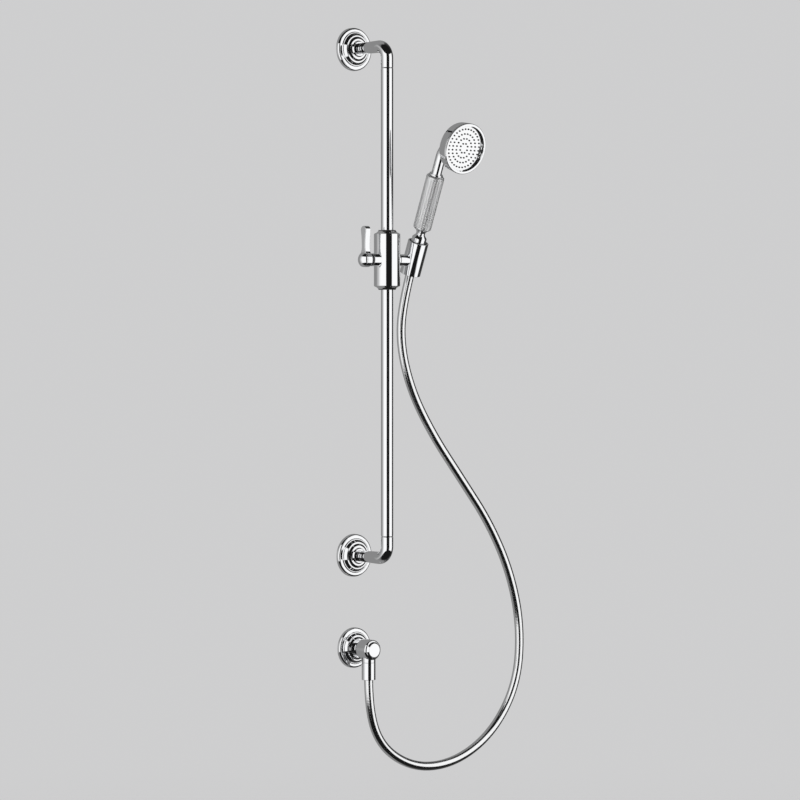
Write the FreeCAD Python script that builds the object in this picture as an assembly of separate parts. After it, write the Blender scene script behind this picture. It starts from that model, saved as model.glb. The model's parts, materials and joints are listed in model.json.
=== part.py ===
import FreeCAD, Part
import math
import os

from FreeCAD import Placement, Rotation, Vector

# Shower slide rail set, in millimetres: a round rail on two wall elbows, a clamped slider with a
# tilting cradle, a handset, and a metal hose that comes from a wall outlet.
# The wall is the plane y = 0 and the room lies towards -Y. +Z is up and +X is to the right of
# someone who faces the wall. The origin is the middle of the lower rail fixing, on the wall.

# Rail and its elbows
fixing_centres = 790.0
stand_off = 84.0
rail_r = 9.5
rail_wall = 1.3
elbow_bend_r = 19.5
elbow_leg = 14.0
arm_wall_r = 8.3
spigot_length = 22.0
spigot_lead = 1.0
seam_chamfer = 0.4

# Wall plates
plate_r = 25.0
plate_t = 4.0
plate_boss_r = 6.0
plate_boss_length = 30.0
plate_hole_r = 2.5
plate_hole_count = 3
plate_hole_circle_r = 18.0

# Stepped wall flanges: each tier's outer and inner radius, depth from the wall and edge rounding
rail_flange_tiers = [
    (33.2, 27.0, 6.6, 3.2),
    (26.0, 24.9, 8.0, 0.2),
    (21.3, 19.1, 11.8, 0.5),
    (15.7, 12.7, 14.3, 0.4),
]
rail_collar_r = 11.2
rail_collar_depth = 16.8
outlet_flange_tiers = [
    (31.4, 25.4, 6.4, 3.0),
    (24.5, 23.4, 7.7, 0.2),
    (20.1, 17.9, 11.2, 0.5),
]
outlet_collar_r = 14.8
outlet_collar_depth = 14.0
collar_edge = 0.4
flange_wall = 1.6
flange_draft = 0.3
flange_hole_gap = 0.2
flange_seal_r = 0.95

# Grub screws
grub_r = 2.0
grub_sink = 0.3
grub_bite = 2.3
arm_grub_depth = 24.5
rail_grub_from_seam = 11.0

# Slider
slider_z = 461.0
slider_r = 20.25
slider_height = 89.5
slider_shoulder_t = 2.7
slider_collar_t = 1.95
slider_collar_wall = 1.65
slider_lip = 0.4
slider_middle_bore_r = 11.5
bush_r = 13.5
bush_length = 24.0
bush_proud = 1.2
bush_round = 1.0

# Clearances
running_gap = 0.06
turning_gap = 0.1
face_gap = 0.2
brake_gap = 0.3
fixed_gap = 0.05
cut_past = 1.0

# Clamp on the slider's left
clamp_boss_r = 9.8
clamp_boss_end = 33.0
clamp_washer_r = 8.2
clamp_washer_t = 4.2
clamp_spindle_r = 4.95
clamp_spindle_tail_r = 4.0
clamp_spindle_set_back = 1.0
brake_pad_r = 6.0
brake_pad_seat = 18.0
lever_width = 9.4
lever_hub_r = 11.4
lever_waist = 8.2
lever_waist_rise = 20.0
lever_tip_r = 6.2
lever_rise = 51.6
lever_edge = 1.2
lever_cap_r = 11.0
lever_cap_rim = 1.0
lever_cap_rise = 7.0
lever_cap_shank_r = 2.5
lever_cap_shank = 7.0

# Tilting cradle on the slider's right
lean = 22.5
cradle_x = 53.0
cradle_r = 16.2
cradle_below = 22.0
cradle_above = 31.0
cradle_wall = 2.0
cradle_chamfer = 0.5
cradle_arm_r = 9.0
pivot_seat_x = 21.2
pivot_washer_t = 0.7
pivot_screw_r = 3.0
pivot_head_r = 4.5
pivot_head_t = 3.5
pivot_head_x = 33.0
pivot_thread = 6.5
pivot_spring_t = 0.7
liner_top_r = 12.15
liner_bottom_r = 10.9
liner_set_back = 0.5

# Handset, measured up its own axis from the tilt axis
stem_thread_r = 10.2
stem_thread_end = 8.5
stem_collar_r = 11.4
stem_collar_low = 32.3
stem_collar_top = 38.0
stem_neck_r = 7.0
stem_neck_low = 43.0
stem_neck_top = 47.0
stem_flare_r = 10.0
stem_tube_r = 9.0
water_bore_r = 5.0
grip_r = 14.0
grip_low = 51.7
grip_top = 140.4
grip_chamfer = 2.2
neck_r = 8.0
neck_wall = 2.4
neck_collar_r = 10.6
neck_collar_t = 2.6
neck_plug_length = 10.0
neck_bend_low = 170.4
neck_bend_r = 28.0
neck_bend_angle = 82.0
neck_to_face = 27.4

# Rose, measured back from its face
rose_r = 39.2
rose_lip_r = 35.2
rose_edge = 1.4
rose_throat_r = 33.6
rose_throat_depth = 4.4
rose_ring_t = 2.6
rose_skirt_r = 36.8
rose_skirt_end = 11.0
rose_groove = 0.4
rose_side_end = 18.0
rose_draft = 1.6
rose_back_r = 12.0
rose_back = 25.5
rose_bulge = 3.4
rose_wall = 2.0
plate_seat_depth = 5.2
spray_plate_r = 34.8
spray_plate_t = 1.5
spray_skirt_gap = 0.2
spray_seal_width = 2.2
spray_hole_r = 1.3
spray_ring_pitch = 7.4
spray_rings = 4
spray_holes_per_ring = 8

# Hose and its two nuts
hose_r = 7.0
hose_hole_r = 7.3
upper_nut_end = 12.0
upper_nut_gap = 0.25
upper_nut_top = 32.0
nut_thread_r = 10.25
hose_washer_t = 2.5
hose_washer_bore_r = 6.0
ferrule_r = 9.8
ferrule_t = 6.0
hose_first_run = 62.0
hose_last_run = 58.0
corner_share = 0.45

# Wall outlet
outlet_drop = 145.0
inlet_thread_r = 10.48
inlet_length = 20.0
inlet_bore_r = 7.0
outlet_neck_r = 11.5
outlet_barrel_r = 15.9
outlet_barrel_back = 26.0
outlet_barrel_edge = 1.2
outlet_bevel_start = 48.8
outlet_front = 52.5
outlet_flat_r = 11.0
outlet_cap_r = 10.5
outlet_cap_t = 7.5
outlet_cap_edge = 0.3
outlet_tail_r = 10.8
outlet_tail_end = 19.8
outlet_thread_end = 32.5
outlet_tail_axis = 38.4
lower_nut_r = 10.8
lower_nut_top = 20.0
lower_nut_end = 47.0

# Worked out from the sizes above
origin = Vector(0, 0, 0)
right = Vector(1, 0, 0)
left = Vector(-1, 0, 0)
room = Vector(0, -1, 0)
up = Vector(0, 0, 1)
down = Vector(0, 0, -1)
seam_z = elbow_bend_r + elbow_leg
bend_start = stand_off - elbow_bend_r
rail_bore_r = rail_r - rail_wall
spigot_r = rail_bore_r - fixed_gap
slider_half = slider_height / 2
slider_middle = Vector(0, -stand_off, slider_z)
tilt_point = Vector(cradle_x, -stand_off, slider_z)
cradle_bore_r = cradle_r - cradle_wall
cradle_arm_start = pivot_seat_x + pivot_washer_t + turning_gap
lever_right_x = clamp_boss_end + face_gap + clamp_washer_t
lever_left_x = lever_right_x + lever_width
outlet_middle = Vector(0, 0, -outlet_drop)
outlet_tail = Vector(0, -outlet_tail_axis, -outlet_drop)
upper_ferrule_low = stem_thread_end - hose_washer_t - ferrule_t
lower_ferrule_end = outlet_thread_end + hose_washer_t + ferrule_t
spindle_end = lever_left_x - clamp_spindle_set_back
stem_tube_top = grip_top - neck_plug_length - face_gap
bend_turn = math.radians(neck_bend_angle)
bend_end = Vector(
    0,
    -neck_bend_r * (1 - math.cos(bend_turn)),
    neck_bend_low + neck_bend_r * math.sin(bend_turn),
)
rose_axis = Vector(0, -math.sin(bend_turn), math.cos(bend_turn))
rose_face = bend_end + rose_axis * neck_to_face
rose_inward = rose_axis * -1


def placed(shape, base, axis):
    """The shape with its own Z axis laid along axis, from base."""
    shape.Placement = Placement(base, Rotation(up, axis))
    return shape


def turned(profile, base=origin, axis=up):
    """A solid of revolution. The profile has corners (radius, distance along the axis), and a pair
    of such corners is an arc through the first to the second."""
    edges = []
    last = Vector(profile[0][0], 0, profile[0][1])
    for entry in profile[1:] + profile[:1]:
        if isinstance(entry[0], tuple):
            through, end = [Vector(r, 0, h) for r, h in entry]
            edges.append(Part.Arc(last, through, end).toShape())
        else:
            end = Vector(entry[0], 0, entry[1])
            edges.append(Part.makeLine(last, end))
        last = end
    solid = Part.Face(Part.Wire(edges)).revolve(origin, up, 360)
    if solid.Volume < 0:
        solid.reverse()
    return placed(solid, base, axis)


def rod(r, start, end, base=origin, axis=up):
    """A cylinder along axis, from start to end measured from base."""
    return placed(Part.makeCylinder(r, end - start, Vector(0, 0, start)), base, axis)


def ring(inner_r, outer_r, start, end, base=origin, axis=up):
    """A plain ring along axis."""
    profile = [(inner_r, start), (outer_r, start), (outer_r, end), (inner_r, end)]
    return turned(profile, base, axis)


def rounded(r, depth, edge):
    """A quarter arc from the side of radius r to the face at depth."""
    middle = edge * (1 - math.sqrt(0.5))
    return ((r - middle, depth - middle), (r - edge, depth))


def flipped(shape):
    """The lower rail end's piece as it stands at the upper end."""
    return shape.rotated(Vector(0, 0, fixing_centres / 2), Vector(0, 1, 0), 180)


def leaned(shape):
    """A piece drawn upright about the tilt axis, as it leans at rest."""
    moved = shape.copy()
    moved.rotate(origin, right, lean)
    moved.translate(tilt_point)
    return moved


def arm_r(depth):
    """Radius of the elbow's tapered arm at a depth from the wall."""
    share = (depth - plate_t) / (bend_start - plate_t)
    return arm_wall_r + (rail_r - arm_wall_r) * share


def softened(corners):
    """A profile in which each corner (radius, distance, rounding) is an arc between its two sides."""
    profile = [corners[0]]
    for before, corner, after in zip(corners, corners[1:], corners[2:]):
        if len(corner) == 2:
            profile.append(corner)
            continue
        tip = Vector(corner[0], 0, corner[1])
        back = (Vector(before[0], 0, before[1]) - tip).normalize()
        ahead = (Vector(after[0], 0, after[1]) - tip).normalize()
        half = back.getAngle(ahead) / 2
        start = tip + back * (corner[2] / math.tan(half))
        end = tip + ahead * (corner[2] / math.tan(half))
        through = tip + (back + ahead).normalize() * (corner[2] / math.sin(half) - corner[2])
        profile += [(start.x, start.z), ((through.x, through.z), (end.x, end.z))]
    return profile + [corners[-1]]


def stepped_flange(tiers, collar_r, collar_depth, hole_r):
    """A spun cover of rounded tiers with sloping sides and a collar, open at the wall."""
    rim_r = tiers[0][0]
    front = [(rim_r + flange_draft, 0)]
    back = []
    for r, inner_r, depth, edge in tiers + [(collar_r, hole_r, collar_depth, collar_edge)]:
        front += [(r, depth, edge), (inner_r, depth)]
        back += [(r, depth - flange_wall), (inner_r, depth - flange_wall)]
    back[0] = (rim_r - flange_wall, back[0][1])
    mouth = (rim_r + flange_draft - flange_wall, 0)
    return turned(softened(front) + back[::-1] + [mouth], origin, room)


def wall_plate():
    """Plate that the wall screws hold, with the boss that the elbow slides over."""
    plate = rod(plate_r, 0, plate_t, origin, room)
    plate = plate.fuse(rod(plate_boss_r, 0, plate_t + plate_boss_length, origin, room))
    for n in range(plate_hole_count):
        angle = math.radians(90 + 360 / plate_hole_count * n)
        spot = Vector(plate_hole_circle_r * math.cos(angle), 0, plate_hole_circle_r * math.sin(angle))
        plate = plate.cut(rod(plate_hole_r, -cut_past, plate_t + cut_past, spot, room))
    return plate.removeSplitter()


def elbow():
    """Tapered arm, bend and leg, with the spigot that goes into the rail."""
    arm = Part.makeCone(arm_wall_r, rail_r, bend_start - plate_t, Vector(0, -plate_t, 0), room)
    section = Part.Face(Part.Wire(Part.makeCircle(rail_r, Vector(0, -bend_start, 0), room)))
    bend = section.revolve(Vector(0, -bend_start, elbow_bend_r), left, 90)
    spigot_end = elbow_leg + spigot_length
    leg = turned(
        [
            (0, 0),
            (rail_r, 0),
            (rail_r, elbow_leg - seam_chamfer),
            (rail_r - seam_chamfer, elbow_leg),
            (spigot_r, elbow_leg),
            (spigot_r, spigot_end - spigot_lead),
            (spigot_r - spigot_lead, spigot_end),
            (0, spigot_end),
        ],
        Vector(0, -stand_off, elbow_bend_r),
    )
    body = arm.fuse([bend, leg]).removeSplitter()
    boss_end = plate_t + plate_boss_length + face_gap
    boss_bore = rod(plate_boss_r + fixed_gap, plate_t - cut_past, boss_end, origin, room)
    return body.cut([boss_bore, arm_grub(fixed_gap), rail_grub(fixed_gap)])


def arm_grub(extra=0):
    """Screw under the arm that grips the wall plate's boss."""
    outer = arm_r(arm_grub_depth) - grub_sink if extra == 0 else rail_r + cut_past
    return rod(grub_r + extra, plate_boss_r, outer, Vector(0, -arm_grub_depth, 0), down)


def rail_grub(extra=0):
    """Screw behind the rail that grips the elbow's spigot."""
    inner = spigot_r - grub_bite
    outer = rail_r - grub_sink if extra == 0 else rail_r + cut_past
    base = Vector(0, -stand_off, seam_z + rail_grub_from_seam)
    return rod(grub_r + extra, inner, outer, base, -room)


def rail_tube():
    """Straight rail between the elbows."""
    top = fixing_centres - seam_z
    tube = turned(
        [
            (rail_bore_r, seam_z),
            (rail_r - seam_chamfer, seam_z),
            (rail_r, seam_z + seam_chamfer),
            (rail_r, top - seam_chamfer),
            (rail_r - seam_chamfer, top),
            (rail_bore_r, top),
        ],
        Vector(0, -stand_off, 0),
    )
    return tube.cut([rail_grub(fixed_gap), flipped(rail_grub(fixed_gap))])


def flange_seal():
    """Ring on the arm, behind the flange's collar."""
    depth = rail_collar_depth - flange_wall - flange_seal_r
    middle_r = arm_r(depth) + fixed_gap + flange_seal_r
    return Part.makeTorus(middle_r, flange_seal_r, Vector(0, -depth, 0), room)


def slide_bush(side):
    """Plastic bush in one end of the slider: side is 1 at the top and -1 at the bottom."""
    inner = slider_half - bush_length + face_gap
    outer = slider_half + bush_proud
    bore_r = rail_r + running_gap
    profile = [(bore_r, inner), (bush_r, inner), (bush_r, outer - bush_round)]
    profile += [rounded(bush_r, outer, bush_round), (bore_r, outer)]
    return turned(profile, slider_middle, up * side)


def slider_body():
    """Turned barrel with a clamp boss on its left and a pivot seat on its right."""
    pocket_r = bush_r + turning_gap
    collar = slider_half - slider_collar_t
    shoulder = collar - slider_shoulder_t
    pocket = slider_half - bush_length
    barrel = turned(
        [
            (slider_middle_bore_r, -pocket),
            (pocket_r, -pocket),
            (pocket_r, -slider_half),
            (pocket_r + slider_lip, -slider_half),
            (pocket_r + slider_collar_wall, -collar),
            (slider_r, -shoulder),
            (slider_r, shoulder),
            (pocket_r + slider_collar_wall, collar),
            (pocket_r + slider_lip, slider_half),
            (pocket_r, slider_half),
            (pocket_r, pocket),
            (slider_middle_bore_r, pocket),
        ],
        slider_middle,
    )
    wall_middle = (slider_r + pocket_r) / 2
    clamp_boss = rod(clamp_boss_r, wall_middle, clamp_boss_end, slider_middle, left)
    pivot_boss = rod(cradle_arm_r, wall_middle, pivot_seat_x, slider_middle, right)
    body = barrel.fuse([clamp_boss, pivot_boss]).removeSplitter()
    thread_end = clamp_boss_end + cut_past
    thread = rod(clamp_spindle_r + fixed_gap, slider_middle_bore_r, thread_end, slider_middle, left)
    pad_pocket = rod(brake_pad_r + turning_gap, 0, brake_pad_seat, slider_middle, left)
    screw_hole = rod(pivot_screw_r, 0, pivot_seat_x + cut_past, slider_middle, right)
    return body.cut([thread, pad_pocket, screw_hole])


def brake_pad():
    """Pad that the clamp spindle pushes against the rail."""
    pad = rod(brake_pad_r, 0, brake_pad_seat - face_gap, slider_middle, left)
    return pad.cut(rod(rail_r + brake_gap, -slider_half, slider_half, slider_middle))


def clamp_spindle():
    """Spindle from the pad to the lever, with a tapped tail for the cap."""
    profile = [(0, brake_pad_seat), (clamp_spindle_r, brake_pad_seat), (clamp_spindle_r, lever_right_x)]
    profile += [(clamp_spindle_tail_r, lever_right_x), (clamp_spindle_tail_r, spindle_end)]
    profile += [(lever_cap_shank_r, spindle_end), (lever_cap_shank_r, spindle_end - lever_cap_shank)]
    return turned(profile + [(0, spindle_end - lever_cap_shank)], slider_middle, left)


def clamp_washer():
    """Friction washer between the boss and the lever."""
    start = clamp_boss_end + face_gap
    return ring(clamp_spindle_r, clamp_washer_r, start, start + clamp_washer_t, slider_middle, left)


def lever_flank(end_r, end_height):
    """Where the arc that makes the lever's waist touches a round end, and the arc's middle."""
    half = lever_waist / 2
    rise = end_height - lever_waist_rise
    flank_r = (half**2 + rise**2 - end_r**2) / (2 * (end_r - half))
    share = end_r / (end_r + flank_r)
    touch = ((half + flank_r) * share, end_height - rise * share)
    across = (touch[0] + half) / 2 - half - flank_r
    along = (touch[1] - lever_waist_rise) / 2
    scale = flank_r / math.hypot(across, along)
    return touch, (half + flank_r + across * scale, lever_waist_rise + along * scale)


def clamp_lever():
    """Paddle lever: a round hub, a slim waist and a wider rounded tip."""
    hub, hub_flank = lever_flank(lever_hub_r, 0)
    tip, tip_flank = lever_flank(lever_tip_r, lever_rise - lever_tip_r)
    waist = (lever_waist / 2, lever_waist_rise)

    def arc(first, second, third):
        corners = [Vector(-lever_left_x, -forward, height) for forward, height in (first, second, third)]
        return Part.Arc(*[slider_middle + corner for corner in corners]).toShape()

    def mirrored(corner):
        return (-corner[0], corner[1])

    edges = [
        arc(mirrored(hub), (0, -lever_hub_r), hub),
        arc(hub, hub_flank, waist),
        arc(waist, tip_flank, tip),
        arc(tip, (0, lever_rise), mirrored(tip)),
        arc(mirrored(tip), mirrored(tip_flank), mirrored(waist)),
        arc(mirrored(waist), mirrored(hub_flank), mirrored(hub)),
    ]
    blade = Part.Face(Part.Wire(edges)).extrude(right * lever_width)
    ends = [e for e in blade.Edges if e.BoundBox.XLength < lever_edge]
    blade = blade.makeFillet(lever_edge, ends)
    return blade.cut(rod(clamp_spindle_tail_r, 0, lever_left_x + cut_past, slider_middle, left))


def lever_cap():
    """Domed cap screwed into the spindle's tail."""
    shank_end = spindle_end - lever_cap_shank
    rim = lever_left_x + lever_cap_rim
    dome = lever_left_x + lever_cap_rise
    dome_r = (lever_cap_r**2 + (dome - rim) ** 2) / (2 * (dome - rim))
    half_turn = math.asin(lever_cap_r / dome_r) / 2
    through = (dome_r * math.sin(half_turn), dome - dome_r * (1 - math.cos(half_turn)))
    profile = [(0, shank_end), (lever_cap_shank_r, shank_end), (lever_cap_shank_r, lever_left_x)]
    profile += [(lever_cap_r, lever_left_x), (lever_cap_r, rim), (through, (0, dome))]
    return turned(profile, slider_middle, left)


def pivot_washer():
    """Thin friction washer in the cradle's tilt joint."""
    end = pivot_seat_x + pivot_washer_t
    return ring(pivot_screw_r, cradle_arm_r, pivot_seat_x, end, slider_middle, right)


def pivot_screw():
    """Screw that the cradle's arm turns on, driven into the slider."""
    start = pivot_seat_x - pivot_thread
    seat = pivot_head_x + turning_gap + pivot_spring_t
    shank = rod(pivot_screw_r, start, seat, slider_middle, right)
    head = rod(pivot_head_r, seat, seat + pivot_head_t, slider_middle, right)
    return shank.fuse(head)


def pivot_spring():
    """Spring washer under the pivot screw's head."""
    start = pivot_head_x + turning_gap
    return ring(pivot_screw_r, pivot_head_r, start, start + pivot_spring_t, slider_middle, right)


def cradle():
    """Open tube that holds the hose nut, on an arm that turns about the pivot screw."""
    end_r = cradle_r - cradle_chamfer
    tube = leaned(
        turned(
            [
                (0, -cradle_below),
                (end_r, -cradle_below),
                (cradle_r, cradle_chamfer - cradle_below),
                (cradle_r, cradle_above - cradle_chamfer),
                (end_r, cradle_above),
                (0, cradle_above),
            ]
        )
    )
    arm = rod(cradle_arm_r, cradle_arm_start, cradle_x, slider_middle, right)
    bore = leaned(rod(cradle_bore_r, -cradle_below - cut_past, cradle_above + cut_past))
    pivot_bore = rod(pivot_screw_r + fixed_gap, 0, cradle_x, slider_middle, right)
    head_bore = rod(pivot_head_r + face_gap, pivot_head_x, cradle_x, slider_middle, right)
    return tube.fuse(arm).removeSplitter().cut([bore, pivot_bore, head_bore])


def liner_bore_r(s):
    """Radius of the liner's tapered bore at a height on the handset's axis."""
    share = (s + cradle_below) / (cradle_above + cradle_below)
    return liner_bottom_r + (liner_top_r - liner_bottom_r) * share


def cradle_liner():
    """Plastic sleeve with a tapered bore, inside the cradle."""
    low = liner_set_back - cradle_below
    top = cradle_above - liner_set_back
    profile = [(liner_bore_r(low), low), (cradle_bore_r, low), (cradle_bore_r, top)]
    return leaned(turned(profile + [(liner_bore_r(top), top)]))


def upper_hose_nut():
    """Conical nut that sits in the liner and holds the hose on the stem."""
    low = -upper_nut_end
    profile = [
        (hose_hole_r, low),
        (liner_bore_r(low) - upper_nut_gap, low),
        (liner_bore_r(upper_nut_top) - upper_nut_gap, upper_nut_top),
        (nut_thread_r, upper_nut_top),
        (nut_thread_r, upper_ferrule_low),
        (hose_hole_r, upper_ferrule_low),
    ]
    return leaned(turned(profile))


def handset_stem():
    """Threaded tail, collar, waist and the tube inside the grip."""
    profile = [
        (water_bore_r, stem_thread_end),
        (stem_thread_r, stem_thread_end),
        (stem_thread_r, stem_collar_low),
        (stem_collar_r, stem_collar_low),
        (stem_collar_r, stem_collar_top),
        (stem_neck_r, stem_neck_low),
        (stem_neck_r, stem_neck_top),
        (stem_flare_r, grip_low),
        (stem_tube_r, grip_low),
        (stem_tube_r, stem_tube_top),
        (water_bore_r, stem_tube_top),
    ]
    return leaned(turned(profile))


def handset_grip():
    """Sleeve with chamfered ends; its diamond knurl is surface texture."""
    bore_r = stem_tube_r + fixed_gap
    end_r = grip_r - grip_chamfer
    profile = [
        (bore_r, grip_low),
        (end_r, grip_low),
        (grip_r, grip_low + grip_chamfer),
        (grip_r, grip_top - grip_chamfer),
        (end_r, grip_top),
        (bore_r, grip_top),
    ]
    return leaned(turned(profile))


def gooseneck(r, low):
    """Round bar of radius r up the handset's axis and over the bend, to the rose's axis."""
    straight = rod(r, low, neck_bend_low)
    section = Part.Face(Part.Wire(Part.makeCircle(r, Vector(0, 0, neck_bend_low), up)))
    bend = section.revolve(Vector(0, -neck_bend_r, neck_bend_low), right, neck_bend_angle)
    reach = rod(r, 0, neck_to_face - rose_back + rose_wall, bend_end, rose_axis)
    return straight.fuse([bend, reach])


def handset_head():
    """Gooseneck and cup, cast as one, with the water way through them."""
    side_r = rose_r - rose_draft
    across = side_r - rose_back_r
    along = rose_back - rose_side_end
    push = rose_bulge / math.hypot(across, along)
    bulge_r = (side_r + rose_back_r) / 2 + along * push
    bulge_depth = (rose_side_end + rose_back) / 2 + across * push
    groove_r = rose_r - rose_groove
    cup = turned(
        [
            (0, rose_ring_t),
            (groove_r, rose_ring_t),
            (rose_r, rose_ring_t + rose_groove),
            (side_r, rose_side_end),
            ((bulge_r, bulge_depth), (rose_back_r, rose_back)),
            (0, rose_back),
        ],
        rose_face,
        rose_inward,
    )
    seat_r = spray_plate_r - spray_seal_width
    chamber_r = seat_r - 2 * rose_wall
    chamber = turned(
        [
            (0, rose_ring_t - cut_past),
            (rose_skirt_r + fixed_gap, rose_ring_t - cut_past),
            (rose_skirt_r + fixed_gap, rose_skirt_end),
            (seat_r, rose_skirt_end),
            (seat_r, rose_side_end - rose_wall),
            (chamber_r, rose_side_end),
            (rose_back_r - rose_wall, rose_back - rose_wall),
            (0, rose_back - rose_wall),
        ],
        rose_face,
        rose_inward,
    )
    collar = ring(neck_r - neck_wall, neck_collar_r, grip_top, grip_top + neck_collar_t)
    plug = rod(stem_tube_r, grip_top - neck_plug_length, grip_top)
    body = gooseneck(neck_r, grip_top).fuse([plug, collar, cup]).removeSplitter()
    body = body.cut([gooseneck(neck_r - neck_wall, grip_top - neck_plug_length), chamber])
    return leaned(body)


def rose_ring():
    """Threaded ring that holds the spray plate, with a lip that slopes in to it."""
    profile = [
        (rose_lip_r, 0),
        (rose_r - rose_edge, 0),
        rounded_lip(),
        (rose_r, rose_ring_t),
        (rose_skirt_r, rose_ring_t),
        (rose_skirt_r, rose_skirt_end),
        (spray_plate_r + spray_skirt_gap, rose_skirt_end),
        (spray_plate_r + spray_skirt_gap, plate_seat_depth),
        (rose_throat_r, plate_seat_depth),
        (rose_throat_r, rose_throat_depth),
    ]
    return leaned(turned(profile, rose_face, rose_inward))


def rounded_lip():
    """Rounded outer edge of the rose's face."""
    middle = rose_edge * (1 - math.sqrt(0.5))
    return ((rose_r - middle, middle), (rose_r, rose_edge))


def spray_plate():
    """Disc with rings of spray holes."""
    back = plate_seat_depth + spray_plate_t
    plate = rod(spray_plate_r, plate_seat_depth, back, rose_face, rose_inward)
    drills = []
    for n in range(1, spray_rings + 1):
        for k in range(spray_holes_per_ring * n):
            angle = 2 * math.pi * (k + 0.5) / (spray_holes_per_ring * n)
            ring_r = n * spray_ring_pitch
            spot = Vector(ring_r * math.cos(angle), ring_r * math.sin(angle), plate_seat_depth - cut_past)
            drill = Part.makeCylinder(spray_hole_r, spray_plate_t + 2 * cut_past, spot)
            drills.append(placed(drill.copy(), rose_face, rose_inward))
    return leaned(plate.cut(drills))


def spray_seal():
    """Rubber ring between the spray plate and the cup."""
    inner_r = spray_plate_r - spray_seal_width
    start = plate_seat_depth + spray_plate_t
    return leaned(ring(inner_r, spray_plate_r, start, rose_skirt_end, rose_face, rose_inward))


def outlet_body():
    """Wall inlet, barrel with a bevelled front, and the tail that the hose screws to."""
    cap_bore_r = outlet_cap_r + fixed_gap
    cap_seat = outlet_front - outlet_cap_t
    barrel = turned(
        [
            (inlet_bore_r, -inlet_length),
            (inlet_thread_r, -inlet_length),
            (inlet_thread_r, 0),
            (outlet_neck_r, 0),
            (outlet_neck_r, outlet_barrel_back),
            (outlet_barrel_r - outlet_barrel_edge, outlet_barrel_back),
            (outlet_barrel_r, outlet_barrel_back + outlet_barrel_edge),
            (outlet_barrel_r, outlet_bevel_start),
            (outlet_flat_r, outlet_front),
            (cap_bore_r, outlet_front),
            (cap_bore_r, cap_seat),
            (inlet_bore_r, cap_seat),
        ],
        outlet_middle,
        room,
    )
    inside_wall = rod((outlet_barrel_r + cap_bore_r) / 2, 0, outlet_front, outlet_middle, room)
    tail = rod(outlet_tail_r, 0, outlet_tail_end, outlet_tail, down)
    tail = tail.fuse(rod(stem_thread_r, 0, outlet_thread_end, outlet_tail, down))
    way = rod(hose_washer_bore_r, 0, outlet_thread_end + cut_past, outlet_tail, down)
    return barrel.fuse(tail.cut(inside_wall)).removeSplitter().cut(way)


def outlet_cap():
    """Round plug in the barrel's front, level with the end of its bevel."""
    profile = [
        (0, outlet_front - outlet_cap_t),
        (outlet_cap_r, outlet_front - outlet_cap_t),
        (outlet_cap_r, outlet_front - outlet_cap_edge),
        (outlet_cap_r - outlet_cap_edge, outlet_front),
        (0, outlet_front),
    ]
    return turned(profile, outlet_middle, room)


def lower_hose_nut():
    """Plain round nut under the outlet's tail."""
    profile = [
        (nut_thread_r, lower_nut_top),
        (lower_nut_r, lower_nut_top),
        (lower_nut_r, lower_nut_end),
        (hose_hole_r, lower_nut_end),
        (hose_hole_r, lower_ferrule_end),
        (nut_thread_r, lower_ferrule_end),
    ]
    return turned(profile, outlet_tail, down)


def hose_washer(seat, base=origin, axis=up):
    """Rubber washer against the end of a thread."""
    return ring(hose_washer_bore_r, ferrule_r, seat, seat + hose_washer_t, base, axis)


def hose_ferrule(seat, base=origin, axis=up):
    """Flanged end of the hose, inside a nut."""
    return ring(water_bore_r, ferrule_r, seat, seat + ferrule_t, base, axis)


def on_handset(s):
    """Point on the handset's axis at rest, s up from the tilt axis."""
    turn = math.radians(lean)
    return tilt_point + Vector(0, -math.sin(turn), math.cos(turn)) * s


# Route of the hose, from the upper ferrule down round its loop to the outlet
hose_route = [
    on_handset(upper_ferrule_low),
    on_handset(upper_ferrule_low - hose_first_run),
    Vector(53, -50, 336),
    Vector(77, -47, 260),
    Vector(121, -48, 188),
    Vector(178, -50, 117),
    Vector(237, -51, 44),
    Vector(281, -52, -38),
    Vector(303, -52, -126),
    Vector(295, -52, -217),
    Vector(245, -51, -291),
    Vector(171, -49, -333),
    Vector(92, -46, -338),
    Vector(27, -41, -304),
    outlet_tail + down * (lower_ferrule_end + hose_last_run),
    outlet_tail + down * lower_ferrule_end,
]


def hose():
    """Straight runs joined by arcs as large as the runs allow, swept with the hose's section."""
    edges = []
    start = hose_route[0]
    radii = []
    for before, corner, after in zip(hose_route, hose_route[1:], hose_route[2:]):
        back = (before - corner).normalize()
        ahead = (after - corner).normalize()
        turn = math.pi - back.getAngle(ahead)
        trim = corner_share * min((before - corner).Length, (after - corner).Length)
        radius = trim / math.tan(turn / 2)
        radii.append(radius)
        first = corner + back * trim
        second = corner + ahead * trim
        inward = (back + ahead).normalize()
        middle = corner + inward * (radius / math.cos(turn / 2) - radius)
        edges.append(Part.LineSegment(start, first).toShape())
        edges.append(Part.Arc(first, middle, second).toShape())
        start = second
    edges.append(Part.LineSegment(start, hose_route[-1]).toShape())
    path = Part.Wire(edges)
    first_run = hose_route[1] - hose_route[0]
    section = Part.Wire(Part.makeCircle(hose_r, hose_route[0], first_run))
    tube = path.makePipeShell([section], True, True)
    volume_share = tube.Volume / (math.pi * hose_r**2 * path.Length)
    print("hose length", round(path.Length, 1), "volume share", round(volume_share, 6))
    print("hose bend radii", [round(r) for r in radii])
    return tube


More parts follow.
